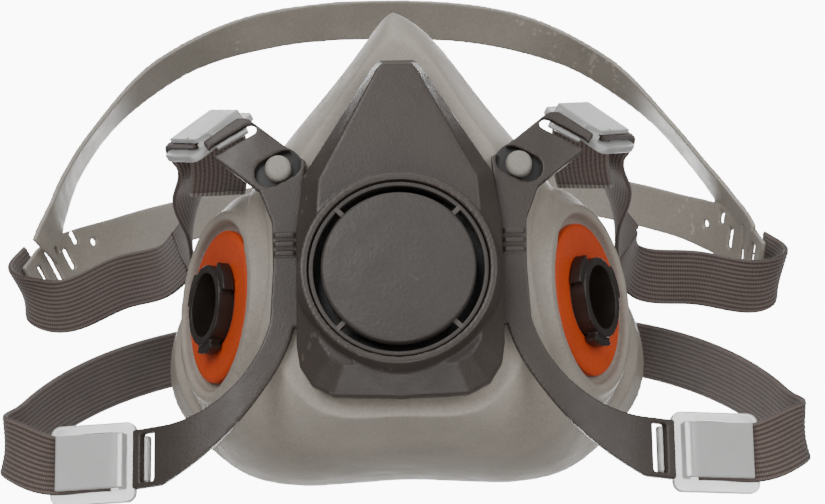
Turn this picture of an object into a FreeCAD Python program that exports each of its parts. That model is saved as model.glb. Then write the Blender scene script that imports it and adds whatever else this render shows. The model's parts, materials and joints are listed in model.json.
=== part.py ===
import FreeCAD, Part
import math
import os
import Sketcher
from FreeCAD import Placement, Rotation, Vector

# A rubber half-mask respirator with two side ports, an exhalation valve in front,
# a plastic harness yoke, four strap buckles, elastic straps and a head cradle.
# Millimetres.  +Z is up, the valve faces -Y, left and right are as seen from the front.
# The origin is the middle of the face opening, where the wearer's face lies.
# The moulded front leans back, so most pieces are drawn in a front frame:
# x to the side, y into the mask from the rim of the valve collar, z up the leaning front.

SIZES = [
    ("lean", 16, "lean of the moulded front, degrees"),
    ("reach", 88, "collar rim in front of the face opening"),
    ("valve_height", 4.2, "valve axis above the origin"),
    ("collar_outer", 24.9, "outer radius of the valve collar at its rim"),
    ("collar_inner", 23.1, "inner radius of the valve collar"),
    ("collar_deep", 12, "collar rim to housing base"),
    ("base_deep", 14, "collar rim to the back of the housing"),
    ("cover_radius", 19.6, "radius of the blank valve cover"),
    ("cover_ring", 22.8, "radius of the cover's snap ring"),
    ("flap_radius", 15, "radius of the exhalation flap"),
    ("seat_radius", 22.9, "outer radius of the valve seat"),
    ("stem_radius", 1.2, "radius of both kinds of flap stem"),
    ("yoke_near", 14.3, "collar rim to the front of the yoke"),
    ("yoke_thick", 2.4, "thickness of the yoke"),
    ("yoke_bend", 50, "radius of the bend of the yoke arms"),
    ("yoke_flat", 35, "half width of the flat middle of the yoke"),
    ("yoke_turn", 32, "angle that the yoke arms bend back, degrees"),
    ("peg_radius", 3.4, "radius of a retaining peg"),
    ("peg_side", 31.2, "peg from the middle plane"),
    ("peg_up", 31.2, "peg above the valve axis"),
    ("port_side", 47.8, "gasket seat from the middle plane"),
    ("port_deep", 51.1, "gasket seat behind the collar rim"),
    ("port_up", 4, "port axis above the valve axis"),
    ("port_turn", 63, "port axis turned outward from straight ahead, degrees"),
    ("spigot_outer", 10.8, "outer radius of a port spigot"),
    ("spigot_inner", 8.6, "bore radius of a port spigot"),
    ("spigot_long", 6.4, "spigot in front of its gasket seat"),
    ("gasket_outer", 20.6, "outer radius of a gasket"),
    ("gasket_inner", 13.2, "inner radius of a gasket"),
    ("gasket_thick", 2.2, "thickness of a gasket"),
    ("rim_radius", 25, "radius of the rubber rim round a gasket"),
    ("rim_high", 2.6, "rubber rim in front of the gasket seat"),
    ("pod_radius", 31, "radius of the rubber pod behind its rim"),
    ("pod_deep", 3, "gasket seat to the full radius of the pod"),
    ("wall", 2.6, "thickness of the rubber"),
    ("strap_wide", 15.5, "width of the elastic"),
    ("strap_thick", 1.5, "thickness of the elastic"),
    ("buckle_long", 25, "length of a buckle from its hinge bar"),
    ("buckle_high", 21, "height of a buckle"),
    ("buckle_thick", 2, "thickness of a buckle's base plate"),
    ("bar_radius", 1.2, "radius of the bars at the ends of the yoke arms"),
    ("hook_inner", 1.55, "inner radius of a buckle's hook"),
    ("hook_outer", 2.75, "outer radius of a buckle's hook"),
    ("band_wide", 12.5, "width of the cradle bands"),
    ("plate_wide", 17, "width of the cradle's end plates"),
    ("band_thick", 1.4, "thickness of the cradle"),
]

doc = FreeCAD.newDocument("Respirator")
sheet = doc.addObject("Spreadsheet::Sheet", "Sizes")
for row, (alias, number, meaning) in enumerate(SIZES, start=1):
    sheet.set(f"A{row}", meaning)
    sheet.set(f"B{row}", str(number))
    sheet.setAlias(f"B{row}", alias)
doc.recompute()

nodes = []


def size(alias):
    """A driving dimension, read from the sheet."""
    return float(sheet.get(alias))


# ---------------------------------------------------------------- frames

FRONT = Placement(Vector(0, -size("reach"), size("valve_height")), Rotation(Vector(1, 0, 0), -size("lean")))


def port_frame(side):
    """Frame on a gasket seat: y runs into the mask along the port axis."""
    seat = Vector(side * size("port_side"), size("port_deep"), size("port_up"))
    return FRONT * Placement(seat, Rotation(Vector(0, 0, 1), side * size("port_turn")))


BAR_BEHIND = 0.9


def bend_at(x):
    """Depth of the middle of the yoke sheet and its slope, at a distance from the middle plane."""
    past = max(0, abs(x) - size("yoke_flat"))
    turn = math.radians(size("yoke_turn"))
    middle_radius = size("yoke_bend") - size("yoke_thick") / 2
    curved = min(past, middle_radius * math.sin(turn))
    rise = middle_radius - math.sqrt(middle_radius ** 2 - curved ** 2)
    straight = (past - curved) * math.tan(turn)
    depth = size("yoke_near") + size("yoke_thick") / 2 + rise + straight
    return depth, math.asin(curved / middle_radius)


def arm_frame(x, z, slope):
    """Frame on a hinge bar behind the sheet: x outward, y square to the sheet, z along the bar."""
    depth, bend = bend_at(x)
    tilt = math.radians(slope)
    behind = Vector(-math.sin(bend), math.cos(bend), 0)
    bar = Vector(-math.cos(tilt), -math.cos(tilt) * math.tan(bend), math.sin(tilt)).normalize()
    origin = Vector(x, depth, z) + behind * BAR_BEHIND
    return FRONT * Placement(origin, Rotation(behind.cross(bar), Vector(), bar, "ZXY"))


# ---------------------------------------------------------------- building helpers

def new_body(label, place):
    """An empty body with its name and place."""
    body = doc.addObject("PartDesign::Body", label)
    body.Label = label
    body.Placement = place
    nodes.append(body)
    return body


def rectangle(body, name, role, left, right, low, high, offset=None):
    """A rectangular sketch on one of the body's own planes, its four sides bound to the sheet."""
    plane = [item for item in body.Origin.OriginFeatures if item.Role == role][0]
    sketch = body.newObject("Sketcher::SketchObject", name)
    sketch.AttachmentSupport = [(plane, "")]
    sketch.MapMode = "FlatFace"
    if offset is not None:
        sketch.AttachmentOffset = offset
    corners = [Vector(1, 1, 0), Vector(2, 1, 0), Vector(2, 2, 0), Vector(1, 2, 0)]
    for index in range(4):
        sketch.addGeometry(Part.LineSegment(corners[index], corners[(index + 1) % 4]))
    for index in range(4):
        sketch.addConstraint(Sketcher.Constraint("Coincident", index, 2, (index + 1) % 4, 1))
        kind = "Horizontal" if index % 2 == 0 else "Vertical"
        sketch.addConstraint(Sketcher.Constraint(kind, index))
    sides = [("left", "DistanceX", 0, 1, left), ("low", "DistanceY", 0, 1, low)]
    sides += [("right", "DistanceX", 1, 2, right), ("high", "DistanceY", 1, 2, high)]
    for word, kind, edge, end, formula in sides:
        number = sketch.addConstraint(Sketcher.Constraint(kind, -1, 1, edge, end, 1.0))
        sketch.renameConstraint(number, word)
        sketch.setExpression(f"Constraints.{word}", str(formula))
    return sketch


def ring(body, name, inner, outer, near, far):
    """A turned step about the body's y axis, from radius inner to outer and depth near to far."""
    sketch = rectangle(body, name + "_sketch", "XY_Plane", inner, outer, near, far)
    turned = body.newObject("PartDesign::Revolution", name)
    turned.Profile = sketch
    turned.ReferenceAxis = (sketch, ["V_Axis"])
    turned.Angle = 360
    sketch.Visibility = False
    return turned


def spokes(body, name, inner, outer, half, near, deep, count, turn):
    """Radial bars round the y axis, patterned from one pad."""
    offset = Placement(Vector(0, 0, -(near + deep)), Rotation(Vector(0, 0, 1), turn))
    sketch = rectangle(body, name + "_sketch", "XZ_Plane", inner, outer, f"-({half})", half, offset)
    pad = body.newObject("PartDesign::Pad", name)
    pad.Profile = sketch
    pad.Length = deep
    pattern = body.newObject("PartDesign::PolarPattern", name + "_round")
    pattern.Originals = [pad]
    pattern.Axis = (sketch, ["N_Axis"])
    pattern.Angle = 360
    pattern.Occurrences = count
    body.Tip = pattern
    return pattern


def add_shape(label, shape):
    """A sub-part whose shape is worked out from the sheet's sizes."""
    item = doc.addObject("Part::Feature", label)
    item.Label = label
    item.Shape = shape
    nodes.append(item)
    return item


def add_pair(name, shape):
    """The right-hand piece and its mirror image on the left."""
    add_shape(name + "_right", shape)
    add_shape(name + "_left", shape.mirror(Vector(0, 0, 0), Vector(1, 0, 0)))


def box(low, high):
    """A box between two corners."""
    span = Vector(*high) - Vector(*low)
    return Part.makeBox(span.x, span.y, span.z, Vector(*low))


def cylinder(radius, near, far, x=0, z=0):
    """A round bar along y."""
    return Part.makeCylinder(radius, far - near, Vector(x, near, z), Vector(0, 1, 0))


def round_slot(width, x_from, x_to, near, far):
    """A bar along y with round ends, from x_from to x_to."""
    half = width / 2
    bar = box((x_from, near, -half), (x_to, far, half))
    return bar.fuse([cylinder(half, near, far, x_from), cylinder(half, near, far, x_to)]).removeSplitter()


def both_sides(points):
    """A half outline from the top to the bottom, closed with its mirror image."""
    inner = [(-x, z) for x, z in reversed(points) if x > 0]
    return points + inner


def straight_outline(half_points, depth):
    """A closed polygon at one depth of the front frame."""
    ring_points = [Vector(x, depth, z) for x, z in both_sides(half_points)]
    return Part.makePolygon(ring_points + ring_points[:1])


def smooth_outline(half_points, depth):
    """A closed smooth curve at one depth of the front frame."""
    curve = Part.BSplineCurve()
    curve.interpolate(Points=[Vector(x, depth, z) for x, z in both_sides(half_points)], PeriodicFlag=True)
    return Part.Wire(curve.toShape())


def shrink(half_points, inset):
    """A half outline moved inward square to itself."""
    loop = both_sides(half_points)
    moved = []
    for index, (x, z) in enumerate(half_points):
        before = loop[index - 1]
        after = loop[(index + 1) % len(loop)]
        along = Vector(after[0] - before[0], 0, after[1] - before[1]).normalize()
        new_x = 0 if x == 0 else x + inset * along.z
        moved.append((new_x, z - inset * along.x))
    return moved


def ribbon(route, width, thick, count):
    """A flat band along a route of (point, direction across) pairs, with one width or one for each point."""
    widths = width if isinstance(width, list) else [width] * len(route)
    middle = Part.BSplineCurve()
    middle.interpolate([Vector(*point) for point, _ in route])
    knots = [middle.parameter(Vector(*point)) for point, _ in route]
    wires = []
    for step in range(count + 1):
        at = middle.FirstParameter + (middle.LastParameter - middle.FirstParameter) * step / count
        before = max(index for index, knot in enumerate(knots) if knot <= at + 1e-9)
        before = min(before, len(route) - 2)
        share = (at - knots[before]) / (knots[before + 1] - knots[before])
        share = share * share * (3 - 2 * share)
        across = Vector(*route[before][1]) * (1 - share) + Vector(*route[before + 1][1]) * share
        along = middle.tangent(at)[0]
        across = (across - along * across.dot(along)).normalize()
        proud = along.cross(across)
        centre = middle.value(at)
        half_width = across * ((widths[before] * (1 - share) + widths[before + 1] * share) / 2)
        half_thick = proud * (thick / 2)
        corners = [centre + half_width + half_thick, centre - half_width + half_thick]
        corners += [centre - half_width - half_thick, centre + half_width - half_thick]
        wires.append(Part.makePolygon(corners + corners[:1]))
    band = Part.makeLoft(wires, True, True)
    if band.Volume < 0:
        band.reverse()
    return band


# ---------------------------------------------------------------- rubber face seal

SEAL_OUTLINES = [
    (16.9, [(0, 67), (5.5, 64), (17, 48), (28.5, 29), (33, 4), (31, -20), (20, -33), (0, -34.5)]),
    (26, [(0, 77), (5.5, 73), (20, 52), (34, 30.5), (40, 4), (39, -20), (27, -34.5), (0, -36.5)]),
    (50, [(0, 86), (8, 80), (27, 55), (43, 32), (53, 4), (50, -22), (38.5, -36.5), (0, -39.5)]),
    (98, [(0, 92), (12, 85), (38, 58), (55, 32), (68, 0), (64.5, -19), (52.5, -30.5), (0, -34)]),
]
SEAL_EDGE = [(24, 95), (29, 76), (43, 52), (64, 30), (88, 8), (92, -6), (86, -22), (80, -34), (76, -60)]
SEAL_LIP = 7.5


def seal_solid(inset, lip, near_wall):
    """The lofted body of the seal, or its hollow when inset."""
    wires = []
    for number, (depth, outline) in enumerate(SEAL_OUTLINES):
        last = number == len(SEAL_OUTLINES) - 1
        extra = lip if last else inset
        start = near_wall if number == 0 else 0
        points = shrink(outline, extra) if extra else outline
        wires.append(smooth_outline(points, depth + start))
    return Part.makeLoft(wires, True, False)


def behind_face():
    """Everything behind the curved edge that meets the face."""
    curve = Part.BSplineCurve()
    edge_points = [Vector(-100, depth, z) for depth, z in SEAL_EDGE]
    curve.interpolate(edge_points)
    far = 140
    corners = [edge_points[-1], Vector(-100, far, SEAL_EDGE[-1][1]), Vector(-100, far, SEAL_EDGE[0][1])]
    sides = Part.makePolygon(corners + [edge_points[0]])
    face = Part.Face(Part.Wire([curve.toShape()] + sides.Edges))
    return face.extrude(Vector(200, 0, 0))


def pod_pieces(side):
    """Pod, hollow, floor and openings of one port, in the front frame."""
    to_front = FRONT.inverse() * port_frame(side)
    wall = size("wall")
    rim = -size("rim_high")
    axis = Vector(0, 1, 0)
    deep = size("pod_deep")
    back = 16
    cone = Part.makeCone(size("rim_radius"), size("pod_radius"), deep - rim, Vector(0, rim, 0), axis)
    pod = cone.fuse(cylinder(size("pod_radius"), deep, back))
    narrow = size("rim_radius") - wall
    inner_cone = Part.makeCone(narrow, size("pod_radius") - wall, deep, Vector(0, wall, 0), axis)
    hollow = inner_cone.fuse(cylinder(size("pod_radius") - wall, wall + deep, back + 6))
    floor = cylinder(size("rim_radius") - 0.4, 0, wall)
    recess = cylinder(size("rim_radius") - 1.8, -30, 0)
    bore = cylinder(size("spigot_outer") + 0.1, -30, 30)
    pieces = [pod, hollow, floor, recess.fuse(bore)]
    for piece in pieces:
        piece.Placement = to_front
    return pieces


def face_seal():
    """The rubber facepiece: a hollow loft with a pod for each port."""
    wall = size("wall")
    outer = seal_solid(0, 0, 0)
    inner = seal_solid(wall, SEAL_LIP, wall)
    pods = [pod_pieces(side) for side in (-1, 1)]
    solid = outer.fuse([pod[0] for pod in pods])
    solid = solid.cut(inner.fuse([pod[1] for pod in pods]))
    solid = solid.fuse([pod[2] for pod in pods])
    solid = solid.cut([pod[3] for pod in pods])
    solid = solid.cut([behind_face(), cylinder(20.3, 0, 40)])
    solid = max(solid.Solids, key=lambda item: item.Volume)
    solid.Placement = FRONT
    add_shape("face_seal", solid)


# ---------------------------------------------------------------- front housing and valve

HOUSING_BASE = [(0, 59), (4.6, 59), (6.4, 57.2), (24.4, 28), (26.4, 14), (26.4, -17), (25.6, -22.5)]
HOUSING_BASE += [(22.6, -27.4), (17, -30.4), (0, -31)]
HOUSING_FACE = [(0, 56), (3.6, 56), (5, 54.6), (20.2, 25), (21, 14), (21, -14), (20.3, -18)]
HOUSING_FACE += [(18, -21.6), (14, -23.8), (0, -24.2)]
HOUSING_HOLLOW = [(0, 52), (2.2, 52), (3, 51), (16.6, 27.5), (0, 27.5)]


def front_housing():
    """The hard front: a bevelled nose panel on a base, and the round valve collar."""
    base_deep = size("base_deep")
    back = straight_outline(HOUSING_BASE, base_deep)
    edge = straight_outline(HOUSING_BASE, 11)
    face = straight_outline(HOUSING_FACE, 5)
    solid = Part.makeLoft([back, edge, face], True, True)
    foot = size("collar_outer") + 1.6
    collar = Part.makeCone(size("collar_outer"), foot, size("collar_deep"), Vector(0, 0, 0), Vector(0, 1, 0))
    solid = solid.fuse(collar)
    bore = cylinder(size("collar_inner"), -1, size("collar_deep")).fuse(cylinder(20.3, 0, base_deep + 1))
    hollow = Part.Face(straight_outline(HOUSING_HOLLOW, 8)).extrude(Vector(0, base_deep, 0))
    solid = solid.cut([bore, hollow])
    solid.Placement = FRONT
    add_shape("front_housing", solid)


def valve_seat():
    """The ring, hub and spokes that the exhalation flap lies on."""
    body = new_body("valve_seat", FRONT)
    ring(body, "outer_ring", 15.6, "Sizes.seat_radius", 8.6, "Sizes.collar_deep - 0.1")
    ring(body, "sealing_ring", 12.6, 15.6, 8.4, 10.4)
    ring(body, "hub", "Sizes.stem_radius + 0.05", 3, 8.6, 10.6)
    spokes(body, "web", 2.6, 13, 0.9, 8.8, 1.6, 4, 0)


def exhalation_flap():
    """The thin rubber disc and its stem."""
    body = new_body("exhalation_flap", FRONT)
    ring(body, "disc", 0, "Sizes.flap_radius", 7.3, 8.1)
    ring(body, "stem", 0, "Sizes.stem_radius", 8.1, 11.6)


def exhalation_cover():
    """The blank round cover, its four bars and its snap ring."""
    body = new_body("exhalation_cover", FRONT)
    ring(body, "disc", 0, "Sizes.cover_radius", -0.8, 1.2)
    ring(body, "skirt", "Sizes.cover_radius - 1.4", "Sizes.cover_radius", 1.2, 3.4)
    ring(body, "snap_ring", "Sizes.cover_ring - 1.2", "Sizes.cover_ring", 1, 4.6)
    inner = "Sizes.cover_radius - 0.6"
    outer = "Sizes.cover_ring - 0.6"
    spokes(body, "bar", inner, outer, 1.3, 1, 2.4, 4, 45)


# ---------------------------------------------------------------- ports

BORE_END = 1.5
LUG_ARC = 42


def lugs(body, inner, outer, near, far, turn):
    """Three bayonet lugs: short arcs round the spigot."""
    offset = Placement(Vector(), Rotation(Vector(0, 1, 0), -turn))
    sketch = rectangle(body, "lug_sketch", "XY_Plane", inner, outer, near, far, offset)
    arc = body.newObject("PartDesign::Revolution", "lug")
    arc.Profile = sketch
    arc.ReferenceAxis = (sketch, ["V_Axis"])
    arc.Angle = LUG_ARC
    arc.Midplane = True
    pattern = body.newObject("PartDesign::PolarPattern", "lug_round")
    pattern.Originals = [arc]
    pattern.Axis = (sketch, ["V_Axis"])
    pattern.Angle = 360
    pattern.Occurrences = 3
    body.Tip = pattern


def port_pieces(side, word):
    """One side port with its gasket and its inhalation flap."""
    place = port_frame(side)
    port = new_body("inhalation_port_" + word, place)
    ring(port, "spigot", "Sizes.spigot_inner", "Sizes.spigot_outer", "-Sizes.spigot_long", BORE_END)
    ring(port, "throat", "Sizes.spigot_inner + 0.8", "Sizes.spigot_outer", BORE_END, 4.4)
    ring(port, "collar", "Sizes.spigot_outer - 0.4", "Sizes.gasket_inner - 0.2", -1.6, -0.05)
    ring(port, "inner_flange", "Sizes.spigot_outer - 0.4", 14.5, "Sizes.wall + 0.1", 4.4)
    ring(port, "hub", "Sizes.stem_radius + 0.05", 3, 2.6, 4.4)
    spokes(port, "web", 2.6, "Sizes.spigot_inner + 1.2", 0.8, 2.8, 1.6, 3, 90)
    lugs(port, "Sizes.spigot_outer - 0.4", "Sizes.gasket_inner - 0.1", -5.9, -2.6, 90 - side * 57)
    gasket = new_body("port_gasket_" + word, place)
    ring(gasket, "washer", "Sizes.gasket_inner", "Sizes.gasket_outer", "-Sizes.gasket_thick", -0.05)
    flap = new_body("inhalation_flap_" + word, place)
    ring(flap, "disc", 0, "Sizes.spigot_outer + 0.4", 4.8, 5.5)
    ring(flap, "stem", 0, "Sizes.stem_radius", 1.6, 4.8)


# ---------------------------------------------------------------- harness yoke

ARM_TOP = [(33.4, -10), (32.6, 4), (32.8, 16.5), (36, 25), (47.5, 34.4), (51, 39.6), (41.8, 45.4), (39, 45)]
ARM_INSIDE = [(39, 45), (24, 33), (25.6, 13), (26.6, -8)]
ARM_UNDER = [(26.6, -8), (29.5, -18), (35.5, -28), (44.5, -38.6), (54, -46), (61.5, -50)]
ARM_OVER = [(63, -34.6), (55, -33.6), (45.5, -28.6), (37.5, -19.5), (33.4, -10)]
ARM_END = [(61.5, -50), (70, -50), (70, -34.6), (63, -34.6)]
UPPER_SLOT = (43.1, 39.5, 27.5)
SLOT_WIDE = 3
PEG_SLOT_WIDE = 7.6
ARM_STRAIGHT = 30


def smooth_edge(points):
    """A smooth edge through points of the front view."""
    curve = Part.BSplineCurve()
    curve.interpolate([Vector(x, 0, z) for x, z in points])
    return curve.toShape()


def straight_edges(points):
    """Straight edges through points of the front view."""
    return Part.makePolygon([Vector(x, 0, z) for x, z in points]).Edges


def yoke_sheet():
    """The bent sheet that the yoke is cut from: flat in the middle, then bent back and straight again."""
    near = size("yoke_near")
    far = near + size("yoke_thick")
    flat = size("yoke_flat")
    turn = math.radians(size("yoke_turn"))
    edges = []
    ends = {}
    for side in (-1, 1):
        for face, radius in (("near", size("yoke_bend")), ("far", size("yoke_bend") - size("yoke_thick"))):
            start = Vector(side * flat, near + size("yoke_bend") - radius, -70)
            centre = Vector(side * flat, near + size("yoke_bend"), -70)

            def on_arc(angle):
                return centre + Vector(side * radius * math.sin(angle), -radius * math.cos(angle), 0)
            edges.append(Part.Arc(start, on_arc(turn / 2), on_arc(turn)).toShape())
            ends[side, face] = on_arc(turn) + Vector(side * math.cos(turn), math.sin(turn), 0) * ARM_STRAIGHT
            edges.append(Part.makeLine(on_arc(turn), ends[side, face]))
        edges.append(Part.makeLine(ends[side, "near"], ends[side, "far"]))
    for depth in (near, far):
        edges.append(Part.makeLine(Vector(-flat, depth, -70), Vector(flat, depth, -70)))
    outline = Part.Wire(Part.__sortEdges__(edges))
    return Part.Face(outline).extrude(Vector(0, 0, 140))


def yoke_arm():
    """One arm as a thick plate seen from the front, with its slots and peg hole."""
    edges = straight_edges(ARM_TOP) + straight_edges(ARM_INSIDE) + straight_edges(ARM_END)
    edges += [smooth_edge(ARM_UNDER), smooth_edge(ARM_OVER)]
    plate = Part.Face(Part.Wire(Part.__sortEdges__(edges))).extrude(Vector(0, 70, 0))
    slot_x, slot_z, slope = UPPER_SLOT
    slot = round_slot(SLOT_WIDE, -5.4, 5.4, -1, 80)
    slot.Placement = Placement(Vector(slot_x, 0, slot_z), Rotation(Vector(0, 1, 0), slope))
    hole = round_slot(PEG_SLOT_WIDE, -2.4, 2.6, -1, 80)
    hole.Placement = Placement(Vector(size("peg_side"), 0, size("peg_up")), Rotation(Vector(0, 1, 0), slope))
    return plate.cut([slot, hole])


def hinge_pieces():
    """Room for the buckle hooks behind the arms, and the round bars the hooks turn on."""
    upper_half = UPPER_HOOK + HOOK_ROOM
    lower_half = LOWER_HOOK + HOOK_ROOM
    upper_room = box((-3.4, -1.5, -upper_half), (8, 8, upper_half))
    lower_room = box((-3.4, -1.5, -lower_half), (8, 8, lower_half))
    window = box((-5.7, -8, -lower_half), (-ARM_SIDE, 8, lower_half))
    end_trim = box((ARM_SIDE, -8, -20), (20, 8, 20))
    upper_bar = Part.makeCylinder(size("bar_radius"), 12.2, Vector(0, 0, -6.4))
    lower_bar = Part.makeCylinder(size("bar_radius"), 14.4, Vector(0, 0, -7.2))
    upper_web = box((-0.5, -1.6, -6), (0.5, -1, 5.4))
    lower_web = box((-0.5, -1.6, -7), (0.5, -1, 7))
    rooms = []
    bars = []
    for shape, place, group in (
        (upper_room, upper_bar_frame(), rooms),
        (lower_room.fuse([window, end_trim]), lower_bar_frame(), rooms),
        (upper_bar.fuse(upper_web), upper_bar_frame(), bars),
        (lower_bar.fuse(lower_web), lower_bar_frame(), bars),
    ):
        shape.Placement = place
        group += [shape, shape.mirror(Vector(0, 0, 0), Vector(1, 0, 0))]
    return rooms, bars


def harness_yoke():
    """The one-piece harness: two arms on a ring that is trapped behind the housing."""
    arm = yoke_arm()
    other = arm.mirror(Vector(0, 0, 0), Vector(1, 0, 0))
    disc = cylinder(29, 0, 70).common(box((-29, 0, -20), (29, 70, 22)))
    solid = yoke_sheet().common(disc.fuse([arm, other])).cut(cylinder(21, 0, 80))
    near = size("yoke_near")
    ribs = []
    for side in (-1, 1):
        for level in (7.6, 10, 12.4):
            low_x, high_x = sorted((side * 27, side * 32))
            ribs.append(box((low_x, near - 0.7, level), (high_x, near + 0.6, level + 1.2)))
    solid = solid.fuse(ribs)
    solid.Placement = FRONT
    rooms, bars = hinge_pieces()
    solid = solid.cut(rooms).fuse(bars)
    add_shape("harness_yoke", solid)


def retaining_pegs():
    """The round pegs of the rubber that button the yoke in place."""
    for side, word in ((-1, "left"), (1, "right")):
        place = FRONT * Placement(Vector(side * size("peg_side"), 0, size("peg_up")), Rotation())
        body = new_body("retaining_peg_" + word, place)
        ring(body, "shank", 0, "Sizes.peg_radius", "Sizes.yoke_near - 0.6", 23)
        ring(body, "head", 0, "Sizes.peg_radius - 0.7", "Sizes.yoke_near - 1.1", "Sizes.yoke_near - 0.6")


# ---------------------------------------------------------------- buckles

LOWER_FALL = -19
UPPER_FALL = 53
UPPER_SKEW = 25
UPPER_HOOK = 4.6
LOWER_HOOK = 6
LID_HALF = 7.2
LID_FRONT = -2.6
PLATE_FRONT = 0.6
HOOK_ROOM = 0.4
ARM_SIDE = 1.3


def upper_bar_frame():
    """Frame of the right upper hinge bar."""
    return arm_frame(44.4, 42.1, UPPER_SLOT[2])


def lower_bar_frame():
    """Frame of the right lower hinge bar, which stands upright."""
    return arm_frame(68, -42.3, 90)


def turned(fall, skew):
    """How a buckle's plate lies against its hinge bar."""
    return Placement(Vector(), Rotation(Vector(0, 0, 1), fall) * Rotation(Vector(0, 1, 0), skew))


def upper_plate_frame():
    """Frame of the right upper buckle's plate, which hangs askew."""
    return upper_bar_frame() * turned(UPPER_FALL, UPPER_SKEW)


def lower_plate_frame():
    """Frame of the right lower buckle's plate."""
    return lower_bar_frame() * turned(LOWER_FALL, 0)


def hook_shape(half):
    """The open hook that snaps over a hinge bar."""
    hook = Part.makeCylinder(size("hook_outer"), 2 * half, Vector(0, 0, -half))
    inner_mouth = box((-4, -4, -half - 1), (0, -0.7, half + 1))
    outer_mouth = box((0, -4, -half - 1), (4, 0.6, half + 1))
    return hook.cut([inner_mouth, outer_mouth])


def plate_shape(start):
    """A buckle's plate, with the lid that grips the elastic."""
    half = size("buckle_high") / 2
    back = PLATE_FRONT + size("buckle_thick")
    plate = box((start, PLATE_FRONT, -half), (size("buckle_long"), back, half))
    corners = [edge for edge in plate.Edges if abs(edge.Vertexes[0].Y - edge.Vertexes[1].Y) > 0.01]
    plate = plate.makeFillet(2.6, corners)
    root = box((4.2, LID_FRONT, -LID_HALF), (6, 1.1, LID_HALF))
    lid = box((4.2, LID_FRONT, -LID_HALF), (22.5, LID_FRONT + 1.3, LID_HALF))
    return plate.fuse([root, lid])


def buckles():
    """Four buckles: two on the upper arms and two on the lower ends."""
    bore = Part.makeCylinder(size("hook_inner"), 40, Vector(0, 0, -20))
    plate = plate_shape(4.5)
    plate.Placement = turned(UPPER_FALL, UPPER_SKEW)
    neck = box((1.7, PLATE_FRONT, -4), (6, PLATE_FRONT + size("buckle_thick"), 4))
    neck.Placement = turned(UPPER_FALL, 0)
    arm_room = box((-20, -10, -20), (3, 1.3, 20))
    upper = plate.cut(arm_room).fuse([neck, hook_shape(UPPER_HOOK)]).cut(bore)
    upper.Placement = upper_bar_frame()
    add_pair("upper_buckle", upper)
    plate = plate_shape(1.7)
    plate.Placement = turned(LOWER_FALL, 0)
    lower = plate.fuse(hook_shape(LOWER_HOOK)).cut(bore)
    lower.Placement = lower_bar_frame()
    add_pair("lower_buckle", lower)


# ---------------------------------------------------------------- elastic straps

UPPER_ON_PLATE = [(8, -0.25), (15, -0.25), (23, -0.25), (27.5, 0.2), (29.8, 2.8), (29.2, 6.5)]
LOWER_ON_PLATE = [(8, -0.25), (15, -0.25), (24, -0.25)]
DROP_BELOW = [
    ((57.5, -24, 28), (0.6, -0.45, -0.6)),
    ((58, -15, 21), (0.3, -0.35, -0.85)),
    ((60, -7.5, 14), (0, -0.3, -0.95)),
    ((62.5, -2, 8.5), (-0.3, -0.3, -0.9)),
]
RUN_RIGHT = [
    ((63.5, 2, 3), (-0.1, -0.2, -1)),
    ((81, 13, -1), (0, 0, -1)),
    ((94.5, 20, -3.5), (0, 0, -1)),
    ((103.5, 23, -3.5), (-0.2, 0.15, -0.95)),
    ((108, 27, -0.5), (-0.25, 0.3, -0.9)),
    ((106.5, 34, 3), (-0.11, 0.41, -0.9)),
    ((104.5, 38, 4.5), (-0.11, 0.41, -0.9)),
]
RUN_LEFT = [
    ((-68, 4.4, 4), (0.1, -0.2, -1)),
    ((-80.5, 12, 1), (0, 0, -1)),
    ((-94, 19, -4.5), (0, 0, -1)),
    ((-104.5, 23, -5.5), (0.25, 0.1, -0.95)),
    ((-112, 27, -1), (0.4, 0.25, -0.9)),
    ((-111, 34.5, 3), (0.4, 0.2, -0.9)),
    ((-109.5, 38.5, 5), (0.4, 0.2, -0.9)),
]
LOWER_BEHIND = [
    ((100, -65, -42.5), (0, 0.1, 1)),
    ((103.5, -62, -40.5), (0, 0.1, 1)),
    ((102, -56, -39), (0, 0.1, 1)),
    ((98.5, -47, -36), (0, 0.1, 1)),
    ((82.5, -12, -26), (0, 0.05, 1)),
    ((58, 22, -20), (0, 0, 1)),
    ((29, 39, -16.5), (0, 0, 1)),
    ((19.2, 41.6, -15.5), (0, 0, 1)),
]


def on_plate(place, points, sign):
    """A stretch of elastic given in a buckle plate's own frame."""
    across = tuple(place.Rotation.multVec(Vector(0, 0, sign)))
    return [(tuple(place.multVec(Vector(x, y, 0))), across) for x, y in points]


def straps():
    """The elastic pieces of both sides."""
    wide = size("strap_wide")
    thick = size("strap_thick")
    upper = on_plate(upper_plate_frame(), UPPER_ON_PLATE, -1) + DROP_BELOW
    add_pair("upper_strap_drop", ribbon(upper, wide, thick, 72))
    add_shape("upper_strap_run_right", ribbon(RUN_RIGHT, wide, thick, 36))
    add_shape("upper_strap_run_left", ribbon(RUN_LEFT, wide, thick, 36))
    lower = on_plate(lower_plate_frame(), LOWER_ON_PLATE, 1) + LOWER_BEHIND
    add_pair("lower_strap", ribbon(lower, wide, thick, 56))


# ---------------------------------------------------------------- head cradle

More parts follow.
